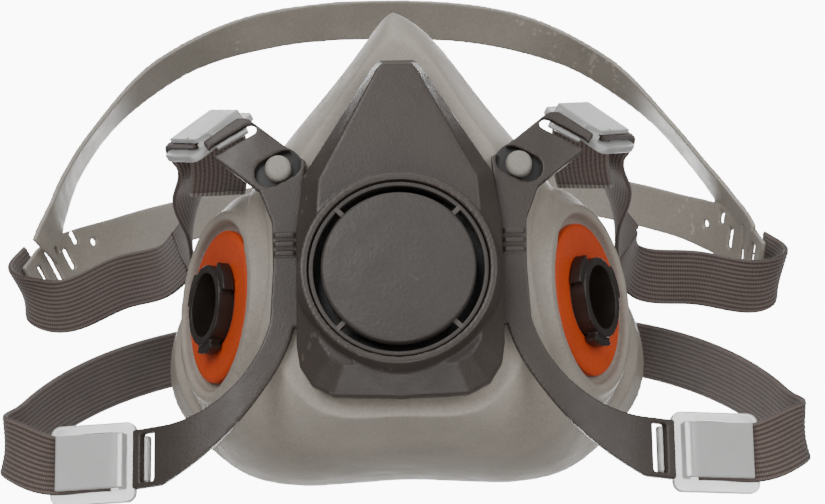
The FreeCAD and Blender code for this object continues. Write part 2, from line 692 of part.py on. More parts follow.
# The two bands are flexible: they lie a little further out on the left than on the right.
TOP_BAND = [
    ((-106, 33, 10), (-0.3, -0.35, 0.87)),
    ((-102.5, 42, 24), (-0.15, -0.88, 0.4)),
    ((-99, 47, 33.5), (-0.1, -0.95, 0.25)),
    ((-92.5, 51, 44), (-0.15, -0.97, 0.15)),
    ((-71, 57, 64.5), (-0.2, -0.8, 0.5)),
    ((-39, 60, 76), (0, -0.55, 0.83)),
    ((-4, 60, 78), (0, -0.45, 0.9)),
    ((29.5, 60, 74.5), (0, -0.5, 0.86)),
    ((58.5, 57, 62), (0.2, -0.8, 0.55)),
    ((79, 51.5, 42.5), (0.15, -0.97, 0.15)),
    ((87.5, 48, 31.5), (0.1, -0.97, 0.2)),
    ((95, 43, 20.5), (0.1, -0.9, 0.4)),
    ((100.5, 33, 8.5), (0.11, -0.5, 0.85)),
]
LOW_BAND = [
    ((-109, 30, 0), (-0.41, -0.2, 0.89)),
    ((-103.5, 42, 5.5), (-0.41, -0.2, 0.89)),
    ((-85.5, 63, 14), (-0.15, -0.07, 1)),
    ((-52.5, 82, 22), (0, 0, 1)),
    ((-2.5, 92, 26), (0, 0, 1)),
    ((48, 82, 25.5), (0, 0, 1)),
    ((81, 62, 17.5), (0.03, -0.1, 1)),
    ((91, 52, 13.5), (0.08, -0.25, 0.96)),
    ((98.5, 40, 8), (0.11, -0.41, 0.905)),
    ((103, 28, 2.5), (0.11, -0.41, 0.905)),
]
PLATE_SLOTS = [(6, 0, 3.75), (12.5, 0, 6.75), (19.6, 0, 3.25), (25, 4.5, 2)]


def plate_frame(side):
    """Frame on the front end of a cradle plate: x runs back along the plate and z across it."""
    first, second = (LOW_BAND[0], LOW_BAND[1]) if side < 0 else (LOW_BAND[-1], LOW_BAND[-2])
    start = Vector(*first[0])
    along = (Vector(*second[0]) - start).normalize()
    across = Vector(*first[1])
    across = (across - along * across.dot(along)).normalize()
    return Placement(start, Rotation(along, Vector(), across, "XZY"))


def plate_holes(side):
    """The slots that the elastic is threaded through and the small round hole."""
    holes = []
    for at, up, half in PLATE_SLOTS:
        holes.append(box((at - 1, -4, up - half), (at + 1, 4, up + half)))
    holes.append(cylinder(1.1, -5, 5, 31, 0))
    for hole in holes:
        hole.Placement = plate_frame(side)
    return holes


def head_cradle():
    """Two bands over the head, joined at a slotted plate on each side."""
    thick = size("band_thick")
    wide = size("band_wide")
    plate = size("plate_wide")
    top = ribbon(TOP_BAND, wide, thick, 60)
    widths = [13, plate, 13.5, wide, wide, wide, 13, 15, plate, 13]
    low = ribbon(LOW_BAND, widths, thick, 60)
    cradle = top.fuse(low).cut(plate_holes(-1) + plate_holes(1))
    add_shape("head_cradle", cradle)


# ---------------------------------------------------------------- neck clasp

def neck_clasp():
    """The two halves of the clasp behind the neck, unhooked and lying side by side."""
    turn = Rotation(Vector(0, 0, 1), -12)
    hook = box((-9, -1, -8.5), (-2, 1, 8.5)).cut(box((-7.6, -2, -7.9), (-5.6, 2, 7.9)))
    tongue = [box((-2, -1, -5), (6, 1, 5)), box((4.4, 1, -5), (6, 3.4, 5)), box((1, 2, -5), (6, 3.4, 5))]
    hook = hook.fuse(tongue)
    hook.Placement = Placement(Vector(-9, 43.2, -15), Rotation(Vector(0, 0, 1), 12))
    add_shape("clasp_hook", hook)
    openings = [box((5.6, -2, -7.9), (7.6, 2, 7.9)), box((-4, -2, -5.8), (1.8, 2, 5.8))]
    loop = box((-6, -1, -8.5), (9, 1, 8.5)).cut(openings)
    loop.Placement = Placement(Vector(9, 43.2, -15), turn)
    add_shape("clasp_loop", loop)


def check_and_write():
    """Stop on a failed or empty piece, then write each piece to its own file."""
    doc.recompute()
    for item in doc.Objects:
        if "Invalid" in item.State or "Error" in item.State:
            raise RuntimeError(f"{item.Label} did not rebuild: {item.State}")
    os.makedirs("parts", exist_ok=True)
    for item in nodes:
        shape = item.Shape
        if shape.isNull() or not shape.isValid():
            raise RuntimeError(f"{item.Label} has no valid shape")
        shape.exportStep(f"parts/{item.Label}.step")
        box_of = shape.BoundBox
        print(f"{item.Label:26s} solids {len(shape.Solids)}  volume {shape.Volume:9.1f}  "
              f"x {box_of.XMin:.1f}..{box_of.XMax:.1f}  y {box_of.YMin:.1f}..{box_of.YMax:.1f}  "
              f"z {box_of.ZMin:.1f}..{box_of.ZMax:.1f}")


face_seal()
front_housing()
valve_seat()
exhalation_flap()
exhalation_cover()
for side_sign, side_word in ((-1, "left"), (1, "right")):
    port_pieces(side_sign, side_word)
harness_yoke()
retaining_pegs()
buckles()
straps()
head_cradle()
neck_clasp()
check_and_write()
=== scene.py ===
import bmesh
import bpy
import json
import math
import numpy as np
from mathutils import Matrix, Vector


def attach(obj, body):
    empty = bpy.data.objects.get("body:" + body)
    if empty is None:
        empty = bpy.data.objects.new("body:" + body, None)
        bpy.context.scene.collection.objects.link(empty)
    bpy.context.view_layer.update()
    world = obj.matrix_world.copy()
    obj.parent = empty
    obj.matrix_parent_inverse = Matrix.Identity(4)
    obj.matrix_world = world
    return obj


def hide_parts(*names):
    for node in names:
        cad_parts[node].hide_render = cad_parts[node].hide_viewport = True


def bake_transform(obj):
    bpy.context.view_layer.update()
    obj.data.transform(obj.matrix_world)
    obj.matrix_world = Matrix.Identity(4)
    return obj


# A rubber half-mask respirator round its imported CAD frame.  Metres.
# Left and right are as seen from the front.

MM = 0.001
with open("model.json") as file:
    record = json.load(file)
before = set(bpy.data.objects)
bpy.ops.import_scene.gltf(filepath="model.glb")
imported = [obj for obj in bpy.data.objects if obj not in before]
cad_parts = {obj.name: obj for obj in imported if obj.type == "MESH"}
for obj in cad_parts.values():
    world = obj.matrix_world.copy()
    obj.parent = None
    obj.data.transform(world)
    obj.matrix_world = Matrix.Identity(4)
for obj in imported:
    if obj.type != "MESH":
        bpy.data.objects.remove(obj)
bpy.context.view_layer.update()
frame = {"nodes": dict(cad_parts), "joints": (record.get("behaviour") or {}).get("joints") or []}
JOINTS = {joint["name"]: joint for joint in frame["joints"]}

# ---------------------------------------------------------------- camera

CAMERA_PLACE = (0.0150, -0.825, 0.0078)
CAMERA_YAW = 0.0155
CAMERA_ROLL = math.radians(-1.15)
CAMERA_LENS = 128


def add_camera():
    """The camera stands level with the facepiece and looks straight at its front."""
    data = bpy.data.cameras.new("camera")
    data.lens = CAMERA_LENS
    data.clip_start = 0.01
    camera = bpy.data.objects.new("camera", data)
    bpy.context.scene.collection.objects.link(camera)
    camera.location = CAMERA_PLACE
    level = Matrix.Rotation(CAMERA_YAW, 3, "Z") @ Matrix.Rotation(math.pi / 2, 3, "X")
    look = level @ Matrix.Rotation(CAMERA_ROLL, 3, "Z")
    camera.rotation_euler = look.to_euler()
    bpy.context.scene.camera = camera


add_camera()

# ---------------------------------------------------------------- frames taken from the model

PULL = Vector(JOINTS["cover_pull"]["axis"])
LEAN = math.asin(PULL.z)
RIM = Vector((0, -0.088, 0.0042))
FRONT = Matrix.Translation(RIM) @ Matrix.Rotation(-LEAN, 4, "X")
GASKET_SEAT = Vector((47.8, 51.1, 4)) * MM
PEG_AT = 31.2


def port_frame(side):
    """Frame on a gasket seat: y runs into the mask along the port axis."""
    inward = Vector(JOINTS["inhale_lift_right"]["axis"])
    turn = math.atan2(-inward.x, -(FRONT.to_3x3().inverted() @ -inward).y)
    seat = Vector((side * GASKET_SEAT.x, GASKET_SEAT.y, GASKET_SEAT.z))
    return FRONT @ Matrix.Translation(seat) @ Matrix.Rotation(side * turn, 4, "Z")


# For each pair of buckles: the joint, the bend of the yoke arm there, and how the plate falls and lies askew.
UPPER_HINGE = ("upper_buckle_tilt_right", 1, 11.1, 53, 25)
LOWER_HINGE = ("lower_strap_swing_right", -1, 32, -19, 0)


def plate_frame(hinge):
    """Frame on a right-hand buckle's plate: x points along the plate and z across it."""
    name, sign, bend, fall, skew = hinge
    bar = Vector(JOINTS[name]["axis"]) * sign
    bend = math.radians(bend)
    behind = FRONT.to_3x3() @ Vector((-math.sin(bend), math.cos(bend), 0))
    outward = behind.cross(bar)
    turn = Matrix((outward, behind, bar)).transposed().to_4x4()
    lie = Matrix.Rotation(math.radians(fall), 4, "Z") @ Matrix.Rotation(math.radians(skew), 4, "Y")
    return Matrix.Translation(Vector(JOINTS[name]["pos_m"])) @ turn @ lie


# ---------------------------------------------------------------- mesh helpers

def mesh_piece(name, points, faces):
    """A new mesh object with smooth faces."""
    mesh = bpy.data.meshes.new(name)
    mesh.from_pydata([tuple(point) for point in points], [], faces)
    mesh.validate()
    piece = bpy.data.objects.new(name, mesh)
    bpy.context.scene.collection.objects.link(piece)
    mesh.polygons.foreach_set("use_smooth", [True] * len(mesh.polygons))
    return piece


def fix_normals(piece):
    """Point every face outward."""
    work = bmesh.new()
    work.from_mesh(piece.data)
    bmesh.ops.recalc_face_normals(work, faces=work.faces)
    work.to_mesh(piece.data)
    work.free()


def apply_modifiers(piece):
    """Replace a piece's mesh with the result of its modifiers."""
    view = bpy.context.evaluated_depsgraph_get()
    result = bpy.data.meshes.new_from_object(piece.evaluated_get(view))
    piece.modifiers.clear()
    piece.data = result


def round_corners(points, radius, steps=4):
    """A closed outline whose corners are replaced with small arcs."""
    rounded = []
    for index, corner in enumerate(points):
        here = np.array(corner, float)
        before = np.array(points[index - 1], float) - here
        after = np.array(points[(index + 1) % len(points)], float) - here
        reach = min(radius, 0.45 * np.linalg.norm(before), 0.45 * np.linalg.norm(after))
        start = here + before / np.linalg.norm(before) * reach
        end = here + after / np.linalg.norm(after) * reach
        for step in range(steps + 1):
            share = step / steps
            past = 1 - share
            rounded.append(tuple(past ** 2 * start + 2 * share * past * here + share ** 2 * end))
    return rounded


def lathe(name, outline, place, steps=128, radius=0.35):
    """A ring turned about the y axis of a frame, from a closed (radius, depth) outline in millimetres."""
    profile = round_corners(outline, radius)
    points = []
    faces = []
    count = len(profile)
    for step in range(steps):
        angle = 2 * math.pi * step / steps
        for out, deep in profile:
            points.append(place @ (Vector((out * math.cos(angle), deep, out * math.sin(angle))) * MM))
        for index in range(count):
            follow = (index + 1) % count
            near = step * count
            far = (step + 1) % steps * count
            faces.append((near + index, near + follow, far + follow, far + index))
    piece = mesh_piece(name, points, faces)
    fix_normals(piece)
    return piece


def lathe_disc(name, outline, place, steps=128, radius=0.35):
    """A solid disc turned about the y axis: the outline starts and ends on the axis."""
    inner = [outline[0]] + round_corners(outline, radius)[5:-5] + [outline[-1]]
    points = [place @ (Vector((0, inner[0][1], 0)) * MM), place @ (Vector((0, inner[-1][1], 0)) * MM)]
    rim = inner[1:-1]
    count = len(rim)
    faces = []
    for step in range(steps):
        angle = 2 * math.pi * step / steps
        for out, deep in rim:
            points.append(place @ (Vector((out * math.cos(angle), deep, out * math.sin(angle))) * MM))
        near = 2 + step * count
        far = 2 + (step + 1) % steps * count
        for index in range(count - 1):
            faces.append((near + index, near + index + 1, far + index + 1, far + index))
        faces.append((0, near, far))
        faces.append((1, far + count - 1, near + count - 1))
    piece = mesh_piece(name, points, faces)
    fix_normals(piece)
    return piece


def box_mesh(name, low, high, place):
    """A box between two corners in millimetres of a frame."""
    points = []
    for index in range(8):
        corner = [high[axis] if index >> axis & 1 else low[axis] for axis in range(3)]
        points.append(place @ (Vector(corner) * MM))
    faces = [(0, 2, 3, 1), (4, 5, 7, 6), (0, 1, 5, 4), (2, 6, 7, 3), (0, 4, 6, 2), (1, 3, 7, 5)]
    piece = mesh_piece(name, points, faces)
    fix_normals(piece)
    return piece


def join_meshes(name, pieces):
    """One object from several closed meshes."""
    work = bmesh.new()
    for piece in pieces:
        work.from_mesh(piece.data)
        old = piece.data
        bpy.data.objects.remove(piece)
        bpy.data.meshes.remove(old)
    mesh = bpy.data.meshes.new(name)
    work.to_mesh(mesh)
    work.free()
    joined = bpy.data.objects.new(name, mesh)
    bpy.context.scene.collection.objects.link(joined)
    return joined


def copy_node(name, node):
    """A free copy of a CAD node's mesh."""
    piece = bpy.data.objects.new(name, frame["nodes"][node].data.copy())
    bpy.context.scene.collection.objects.link(piece)
    piece.data.materials.clear()
    return piece


def melt(piece, voxel, smooth, factor=0.5):
    """Merge overlapping closed meshes into one skin and round its edges."""
    remesh = piece.modifiers.new("melt", "REMESH")
    remesh.mode = "VOXEL"
    remesh.voxel_size = voxel * MM
    remesh.use_smooth_shade = True
    if smooth:
        soften = piece.modifiers.new("soften", "SMOOTH")
        soften.factor = factor
        soften.iterations = smooth
    apply_modifiers(piece)
    return piece


def natural_spline(points, at):
    """Values at parameters of a smooth curve through points, spaced by their distances."""
    points = np.array(points, float)
    gaps = np.linalg.norm(np.diff(points[:, :3], axis=0), axis=1)
    knots = np.concatenate([[0], np.cumsum(gaps)])
    count = len(points)
    matrix = np.eye(count)
    right = np.zeros_like(points)
    for index in range(1, count - 1):
        before = gaps[index - 1]
        after = gaps[index]
        matrix[index, index - 1:index + 2] = (before, 2 * (before + after), after)
        rise = (points[index + 1] - points[index]) / after - (points[index] - points[index - 1]) / before
        right[index] = 6 * rise
    bend = np.linalg.solve(matrix, right)
    values = []
    for share in at:
        here = share * knots[-1]
        index = min(max(int(np.searchsorted(knots, here)) - 1, 0), count - 2)
        gap = gaps[index]
        left = (knots[index + 1] - here) / gap
        past = 1 - left
        value = left * points[index] + past * points[index + 1]
        curve = (left ** 3 - left) * bend[index] + (past ** 3 - past) * bend[index + 1]
        value = value + gap ** 2 / 6 * curve
        values.append(value)
    return np.array(values), knots[-1]


def band_stations(route, count):
    """Centres, along, across and face directions down a band; the route is in millimetres."""
    rows = [tuple(point) + tuple(across) for point, across in route]
    values, length = natural_spline(rows, np.linspace(0, 1, count))
    centres = values[:, :3] * MM
    along = np.gradient(centres, axis=0)
    along /= np.linalg.norm(along, axis=1, keepdims=True)
    across = values[:, 3:]
    across = across - along * np.sum(across * along, axis=1, keepdims=True)
    across /= np.linalg.norm(across, axis=1, keepdims=True)
    return centres, along, across, np.cross(along, across), length * MM


def band(name, route, width, thick, ribs, rib_deep, count, part=(0, 1)):
    """A flat band along a route, with rounded selvages and lengthwise ribs, and a UV map in band widths."""
    centres, along, across, proud, length = band_stations(route, count)
    first = int(part[0] * (count - 1))
    last = int(part[1] * (count - 1))
    samples = 4 * ribs
    profile = []
    for index in range(samples + 1):
        share = index / samples
        edge = min(share, 1 - share) * width
        rounding = math.sqrt(max(0.0, 1 - (1 - min(edge / (thick * 0.5), 1)) ** 2))
        dip = rib_deep * (0.5 - 0.5 * math.cos(2 * math.pi * ribs * share))
        half = max(thick / 2 * rounding - dip * rounding, 0.0)
        profile.append(((share - 0.5) * width, half))
    loop = [(x, half) for x, half in profile] + [(x, -half) for x, half in reversed(profile[1:-1])]
    size = len(loop)
    points = []
    for row in range(first, last + 1):
        for x, half in loop:
            place = centres[row] + across[row] * x * MM + proud[row] * half * MM
            points.append(place)
    rows = last - first + 1
    faces = []
    for row in range(rows - 1):
        for index in range(size):
            follow = (index + 1) % size
            near = row * size
            faces.append((near + index, near + follow, near + size + follow, near + size + index))
    faces.append(tuple(range(size)))
    faces.append(tuple(reversed(range((rows - 1) * size, rows * size))))
    piece = mesh_piece(name, points, faces)
    layer = piece.data.uv_layers.new(name="band")
    step = length / (count - 1) / (width * MM)
    for loop_item in piece.data.loops:
        row, index = divmod(loop_item.vertex_index, size)
        layer.data[loop_item.index].uv = (loop[index][0] / width + 0.5, (row + first) * step)
    fix_normals(piece)
    return piece


# ---------------------------------------------------------------- materials

class Nodes:
    """A short way to write a material's node tree."""

    def __init__(self, name):
        self.material = bpy.data.materials.new(name)
        self.material.use_nodes = True
        self.tree = self.material.node_tree
        self.shader = self.tree.nodes["Principled BSDF"]

    def add(self, kind, **settings):
        node = self.tree.nodes.new(kind)
        for key, value in settings.items():
            if key in node.inputs.keys():
                node.inputs[key].default_value = value
            else:
                setattr(node, key, value)
        return node

    def link(self, out, into):
        self.tree.links.new(out, into)

    def set(self, **values):
        for key, value in values.items():
            self.shader.inputs[key.replace("_", " ")].default_value = value

    def position(self):
        return self.add("ShaderNodeTexCoord").outputs["Object"]

    def noise(self, scale, detail=3.0, where=None, roughness=0.55):
        node = self.add("ShaderNodeTexNoise", Scale=scale, Detail=detail, Roughness=roughness)
        self.link(where or self.position(), node.inputs["Vector"])
        return node.outputs["Fac"]

    def ramp(self, value, low, high, dark, light):
        node = self.add("ShaderNodeValToRGB")
        node.color_ramp.elements[0].position = low
        node.color_ramp.elements[0].color = (*dark, 1)
        node.color_ramp.elements[1].position = high
        node.color_ramp.elements[1].color = (*light, 1)
        self.link(value, node.inputs["Fac"])
        return node.outputs["Color"]

    def mix(self, kind, share, first, second):
        node = self.add("ShaderNodeMix", data_type="RGBA", blend_type=kind)
        if isinstance(share, float):
            node.inputs["Factor"].default_value = share
        else:
            self.link(share, node.inputs["Factor"])
        self.link(first, node.inputs[6])
        self.link(second, node.inputs[7])
        return node.outputs[2]

    def bump(self, value, strength, distance, under=None):
        node = self.add("ShaderNodeBump", Strength=strength, Distance=distance)
        self.link(value, node.inputs["Height"])
        if under is not None:
            self.link(under, node.inputs["Normal"])
        return node.outputs["Normal"]

    def spread(self, value, low, high):
        node = self.add("ShaderNodeMapRange")
        node.inputs["From Min"].default_value = 0.3
        node.inputs["From Max"].default_value = 0.7
        node.inputs["To Min"].default_value = low
        node.inputs["To Max"].default_value = high
        self.link(value, node.inputs["Value"])
        return node.outputs["Result"]


def tone(colour, factor):
    """A lighter or darker shade of a colour."""
    return tuple(min(1.0, channel * factor) for channel in colour)


def moulded(name, colour, rough, grain, grain_deep, edge_highlight_and_wear_gain=1.35, specular=0.5):
    """Moulded plastic or rubber: fine grain, cloudy tone, and sharp edges painted lighter as a painted edge
    highlight, partly also rubbing wear.
    """
    nodes = Nodes(name)
    cloud = nodes.noise(45, 4)
    base = nodes.ramp(cloud, 0.3, 0.72, tone(colour, 0.88), tone(colour, 1.1))
    speck = nodes.noise(1400, 2)
    fleck = nodes.ramp(speck, 0.35, 0.7, (0.86, 0.86, 0.86), (1, 1, 1))
    base = nodes.mix("MULTIPLY", 1.0, base, fleck)
    # Sharp edges, found by pointiness, are painted lighter: a painted edge highlight, partly also rubbing
    # wear.
    edge = nodes.add("ShaderNodeNewGeometry").outputs["Pointiness"]
    edge = nodes.ramp(edge, 0.515, 0.6, (0, 0, 0), (1, 1, 1))
    edge_highlight_and_wear = nodes.ramp(cloud, 0.0, 1.0, tone(colour, edge_highlight_and_wear_gain), tone(colour, edge_highlight_and_wear_gain * 1.1))
    base = nodes.mix("MIX", edge, base, edge_highlight_and_wear)
    nodes.link(base, nodes.shader.inputs["Base Color"])
    patchy = nodes.spread(nodes.noise(160, 5), rough - 0.06, rough + 0.08)
    nodes.link(patchy, nodes.shader.inputs["Roughness"])
    fine = nodes.noise(grain, 2)
    normal = nodes.bump(fine, 0.5, grain_deep)
    normal = nodes.bump(nodes.noise(140, 4), 0.25, 0.00012, normal)
    nodes.link(normal, nodes.shader.inputs["Normal"])
    nodes.set(Specular_IOR_Level=specular)
    return nodes.material


def milky(name, colour):
    """Milky translucent plastic with faint flow marks."""
    nodes = Nodes(name)
    cloud = nodes.noise(120, 4)
    base = nodes.ramp(cloud, 0.3, 0.75, tone(colour, 0.9), colour)
    nodes.link(base, nodes.shader.inputs["Base Color"])
    nodes.link(nodes.spread(nodes.noise(300, 3), 0.28, 0.42), nodes.shader.inputs["Roughness"])
    nodes.link(nodes.bump(nodes.noise(500, 3), 0.2, 0.00008), nodes.shader.inputs["Normal"])
    nodes.set(IOR=1.49, Transmission_Weight=0.42, Subsurface_Weight=0.35, Subsurface_Scale=0.004)
    nodes.shader.inputs["Subsurface Radius"].default_value = (1, 1, 1)
    return nodes.material


def webbing(name, colour):
    """Ribbed elastic: lengthwise cords and cross threads, painted darker in their grooves as painted shade
    and lighter on the cord crests as painted highlight, and a soft fuzz.
    """
    nodes = Nodes(name)
    where = nodes.add("ShaderNodeUVMap", uv_map="band").outputs["UV"]
    ribs = ELASTIC_RIBS * 0.315
    lengthwise = nodes.add("ShaderNodeTexWave", wave_type="BANDS", bands_direction="X", Scale=ribs)
    lengthwise.inputs["Distortion"].default_value = 0.6
    lengthwise.inputs["Detail"].default_value = 2.0
    lengthwise.inputs["Detail Scale"].default_value = 6.0
    nodes.link(where, lengthwise.inputs["Vector"])
    crosswise = nodes.add("ShaderNodeTexWave", wave_type="BANDS", bands_direction="Y", Scale=9.5)
    crosswise.inputs["Distortion"].default_value = 1.2
    crosswise.inputs["Detail"].default_value = 3.0
    crosswise.inputs["Detail Scale"].default_value = 4.0
    nodes.link(where, crosswise.inputs["Vector"])
    # Colour follows the same waves as the bumps below: the grooves are painted dark as painted shade, and the
    # cord crests light as painted highlight.
    cords_and_groove_shade = nodes.ramp(lengthwise.outputs["Fac"], 0.15, 0.85, tone(colour, 0.55), tone(colour, 1.35))
    threads_and_groove_shade = nodes.ramp(crosswise.outputs["Fac"], 0.1, 0.8, (0.62, 0.6, 0.6), (1, 1, 1))
    base = nodes.mix("MULTIPLY", 0.85, cords_and_groove_shade, threads_and_groove_shade)
    cloud = nodes.ramp(nodes.noise(70, 5), 0.3, 0.7, (0.8, 0.8, 0.8), (1.0, 1.0, 1.0))
    base = nodes.mix("MULTIPLY", 1.0, base, cloud)
    nodes.link(base, nodes.shader.inputs["Base Color"])
    normal = nodes.bump(crosswise.outputs["Fac"], 0.7, 0.00018)
    normal = nodes.bump(lengthwise.outputs["Fac"], 0.6, 0.00025, normal)
    normal = nodes.bump(nodes.noise(2600, 2), 0.35, 0.0001, normal)
    nodes.link(normal, nodes.shader.inputs["Normal"])
    nodes.set(Roughness=0.85, Sheen_Weight=0.35, Sheen_Roughness=0.5, Specular_IOR_Level=0.25)
    return nodes.material


ELASTIC_RIBS = 13
ELASTIC_WIDE = 15.5
ELASTIC_THICK = 1.5
RIB_DEEP = 0.16

SEAL_RUBBER = moulded("seal_rubber", (0.40, 0.36, 0.31), 0.55, 1700, 0.00005, 1.1, 0.35)
DARK_PLASTIC = moulded("dark_plastic", (0.058, 0.046, 0.039), 0.42, 1500, 0.0001, 1.5)
COVER_PLASTIC = moulded("cover_plastic", (0.055, 0.047, 0.042), 0.5, 900, 0.00022, 1.4)
PORT_PLASTIC = moulded("port_plastic", (0.022, 0.017, 0.014), 0.36, 1600, 0.00006, 1.6)
GASKET_RUBBER = moulded("gasket_rubber", (0.74, 0.085, 0.017), 0.55, 1200, 0.00009, 1.15, 0.35)
PEG_RUBBER = moulded("peg_rubber", (0.33, 0.305, 0.27), 0.5, 1500, 0.00005, 1.2)
FLAP_RUBBER = moulded("flap_rubber", (0.5, 0.36, 0.16), 0.4, 1500, 0.00003, 1.1)
# Near-black: the valve seat's own colour, also used as painted shade in the discs behind the peg holes.
SEAT_PLASTIC_AND_HOLE_SHADE = moulded("seat_plastic_and_hole_shade", (0.02, 0.018, 0.017), 0.45, 1500, 0.00005, 1.4)
CRADLE_PLASTIC = moulded("cradle_plastic", (0.36, 0.33, 0.29), 0.4, 1500, 0.00005, 1.2)
CLEAR_PLASTIC = milky("clear_plastic", (0.72, 0.72, 0.71))
ELASTIC = webbing("elastic", (0.15, 0.113, 0.098))
TAIL_END = webbing("tail_end", (0.3, 0.27, 0.24))


def finish(piece, material, body=None, nodes=()):
    """Give a piece its material, its place on a body and the CAD nodes it stands for."""
    piece.data.materials.clear()
    piece.data.materials.append(material)
    if nodes:
        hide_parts(*nodes)
    if body:
        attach(piece, body)
    return piece


# ---------------------------------------------------------------- rubber facepiece

RIM_OUTLINE = [(22.9, -2.4), (23.6, -3.3), (25.2, -3.2), (26.2, -2.2), (26, -0.5), (23, -0.5)]


LIP_INSIDE = 23
LIP_OUTSIDE = 26.2
LIP_FRONT = -3.3
POD_FRONT = -2.4
POD_SLOPE = 0.9
POD_EDGE = 29
POD_BLEND = 36


def sink_overhang(piece):
    """Press the rubber that stands in front of each port's lip back to the lip, so the lip stands clear."""
    for side in (-1, 1):
        place = port_frame(side)
        back = place.inverted()
        for vertex in piece.data.vertices:
            spot = back @ vertex.co / MM
            away = math.hypot(spot.x, spot.z)
            if away < LIP_INSIDE or away > POD_BLEND or spot.y > 6:
                continue
            surface = LIP_FRONT if away < LIP_OUTSIDE else POD_FRONT + (away - LIP_OUTSIDE) * POD_SLOPE
            if spot.y >= surface or spot.y < -16:
                continue
            share = min(max((away - POD_EDGE) / (POD_BLEND - POD_EDGE), 0), 1)
            keep = 0.1 + 0.9 * share * share * (3 - 2 * share)
            spot.y = surface + keep * (spot.y - surface)
            vertex.co = place @ (spot * MM)


def face_seal():
    """The soft facepiece: the CAD body melted together with the rims round its ports."""
    parts = [copy_node("seal_core", "face_seal")]
    for side in (-1, 1):
        place = port_frame(side)
        parts.append(lathe("rim", RIM_OUTLINE, place, radius=0.6))
    piece = join_meshes("facepiece_rubber", parts)
    melt(piece, 0.75, 6)
    sink_overhang(piece)
    finish(piece, SEAL_RUBBER, "facepiece", ["face_seal"])


# ---------------------------------------------------------------- front housing and valve

def front_housing():
    """The hard front with its collar."""
    piece = copy_node("housing_shell", "front_housing")
    melt(piece, 0.42, 3)
    finish(piece, DARK_PLASTIC, "facepiece", ["front_housing"])


def valve_cover():
    """The blank grained cover with its four bars and its snap ring."""
    face = [(0, -1.5), (6, -1.45), (12, -1.25), (16, -1), (19, -0.8), (19.6, -0.2), (19.6, 3.2), (18.2, 3.2)]
    face += [(18.2, 1.1), (0, 1.1)]
    parts = [lathe_disc("cover_disc", face, FRONT)]
    parts.append(lathe("cover_ring", [(21.6, 1), (22.8, 1), (22.8, 4.6), (21.6, 4.6)], FRONT))
    for quarter in range(4):
        turn = FRONT @ Matrix.Rotation(math.radians(45 + 90 * quarter), 4, "Y")
        parts.append(box_mesh("cover_bar", (19.0, 0.9, -0.6), (22.3, 3.2, 0.6), turn))
    piece = join_meshes("valve_cover", parts)
    smooth_by_angle(piece)
    finish(piece, COVER_PLASTIC, "cover", ["exhalation_cover"])


def smooth_by_angle(piece, degrees=35):
    """Smooth faces with sharp edges kept sharp."""
    work = bmesh.new()
    work.from_mesh(piece.data)
    limit = math.radians(degrees)
    for face in work.faces:
        face.smooth = True
    for edge in work.edges:
        if len(edge.link_faces) == 2:
            edge.smooth = edge.calc_face_angle() < limit
    work.to_mesh(piece.data)
    work.free()


# ---------------------------------------------------------------- ports

def ports():
    """Each side's spigot and gasket."""
    for side, word in ((-1, "left"), (1, "right")):
        place = port_frame(side)
        port = copy_node("port_" + word, "inhalation_port_" + word)
        melt(port, 0.24, 3)
        finish(port, PORT_PLASTIC, "facepiece", ["inhalation_port_" + word])
        outline = [(11.1, -0.05), (11.1, -2), (12.6, -2.3), (19.4, -2.3), (20.6, -1.7), (20.6, -0.05)]
        gasket = lathe("gasket_" + word, outline, place)
        finish(gasket, GASKET_RUBBER, "facepiece", ["port_gasket_" + word])


# ---------------------------------------------------------------- yoke and pegs

def harness_yoke():
    """The harness moulding with softened edges, and near-black discs behind the holes for the pegs as painted
    shade in the holes.
    """
    piece = copy_node("yoke", "harness_yoke")
    melt(piece, 0.34, 4)
    finish(piece, DARK_PLASTIC, "facepiece", ["harness_yoke"])
    for side in (-1, 1):
        place = FRONT @ Matrix.Translation(Vector((side * PEG_AT, 0, PEG_AT)) * MM)
        outline = [(0, 16.4), (6.6, 16.4), (6.6, 17.3), (0, 17.3)]
        # Each near-black disc sits behind a peg hole so that the hole reads dark: painted shade.
        hole_shade_disc = lathe_disc("peg_hole_shade_disc", outline, place, 48, 0.2)
        finish(hole_shade_disc, SEAT_PLASTIC_AND_HOLE_SHADE, "facepiece")


def pegs():
    """The round rubber pegs that button the yoke."""
    for side, word in ((-1, "left"), (1, "right")):
        place = FRONT @ Matrix.Translation(Vector((side * PEG_AT, 0, PEG_AT)) * MM)
        outline = [(0, 12.9), (2.6, 13.0), (3.4, 13.8), (3.4, 22.5), (0, 22.5)]
        peg = lathe_disc("peg_" + word, outline, place, 64, 0.5)
        finish(peg, PEG_RUBBER, "facepiece", ["retaining_peg_" + word])


# ---------------------------------------------------------------- buckles

def buckles():
    """Milky ladder buckles."""
    for level in ("upper", "lower"):
        for word in ("left", "right"):
            node = f"{level}_buckle_{word}"
            piece = copy_node("buckle_" + level + "_" + word, node)
            melt(piece, 0.26, 3)
            finish(piece, CLEAR_PLASTIC, f"{level}_{word}", [node])


# ---------------------------------------------------------------- elastic

